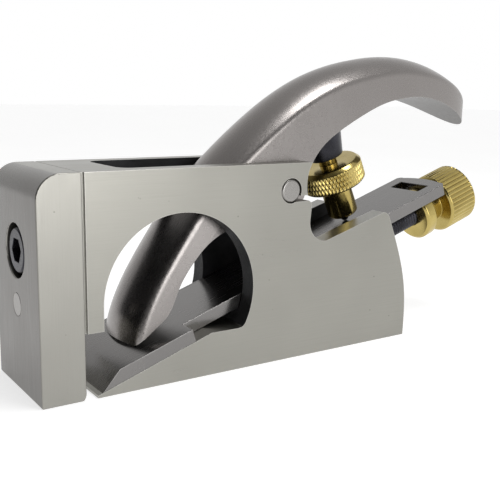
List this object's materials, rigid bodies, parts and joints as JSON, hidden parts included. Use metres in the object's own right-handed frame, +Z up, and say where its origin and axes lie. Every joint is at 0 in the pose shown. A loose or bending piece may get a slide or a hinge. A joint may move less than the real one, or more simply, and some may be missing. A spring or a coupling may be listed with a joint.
{
  "type": "hand plane",
  "caption": "Small metal bullnose hand plane: steel body with a round side opening, curved lever cap, bevel-up blade and knurled brass screws.",
  "frame": {"origin": "on the sole straight under the lever cap's pivot pin, mid-width", "axes": "+Z up off the sole, -X towards the nose, +X towards the blade adjuster, Y across the plane"},
  "size_m": [0.1388, 0.028, 0.0754],
  "materials": {
    "body_steel": "fine satin ground steel",
    "cap_steel": "satin polished cast steel",
    "blade_steel": "ground tool steel",
    "pin_steel": "ground steel",
    "black_steel": "black oxide steel",
    "brass": "polished brass"
  },
  "bodies": {
    "plane": {"body": "body_steel", "nose": "body_steel", "nose_screw": "black_steel", "nose_dowel": "pin_steel", "pivot_pin": "pin_steel", "adjuster_rod": "black_steel"},
    "blade": {"blade": "blade_steel"},
    "adjuster": {"adjuster_knob": "brass"},
    "cap": {"lever_cap": "cap_steel", "clamp_boss": "black_steel"},
    "foot": {"clamp_foot": "black_steel"},
    "thumb_screw": {"clamp_screw": "brass", "thumb_wheel": "brass"}
  },
  "joints": [
    {"name": "blade_slide", "type": "slide", "parent": "plane", "child": "blade", "axis": [0.9478, 0, 0.319], "range_m": [-0.003, 0.004]},
    {"name": "adjuster_turn", "type": "hinge", "parent": "blade", "child": "adjuster", "pos_m": [0.05832, 0, 0.03156], "axis": [0.9478, 0, 0.319], "range_deg": [-1080.1, 1440.1]},
    {"name": "cap_tilt", "type": "hinge", "parent": "plane", "child": "cap", "pos_m": [0, 0, 0.0422], "axis": [0, 1, 0], "range_deg": [0, 3.8]},
    {"name": "clamp_lift", "type": "slide", "parent": "cap", "child": "foot", "axis": [-0.4003, 0, 0.9164], "range_m": [0, 0.0018]},
    {"name": "thumb_screw_turn", "type": "hinge", "parent": "foot", "child": "thumb_screw", "pos_m": [0.0296, 0, 0.03097], "axis": [-0.4003, 0, 0.9164], "range_deg": [0, 518.5]}
  ],
  "couplings": [
    {"joint": "adjuster_turn", "follows": "blade_slide", "rad_per_m": 6283.2},
    {"joint": "thumb_screw_turn", "follows": "clamp_lift", "rad_per_m": 5026.5},
    {"joint": "cap_tilt", "follows": "clamp_lift", "rad_per_m": 36}
  ]
}
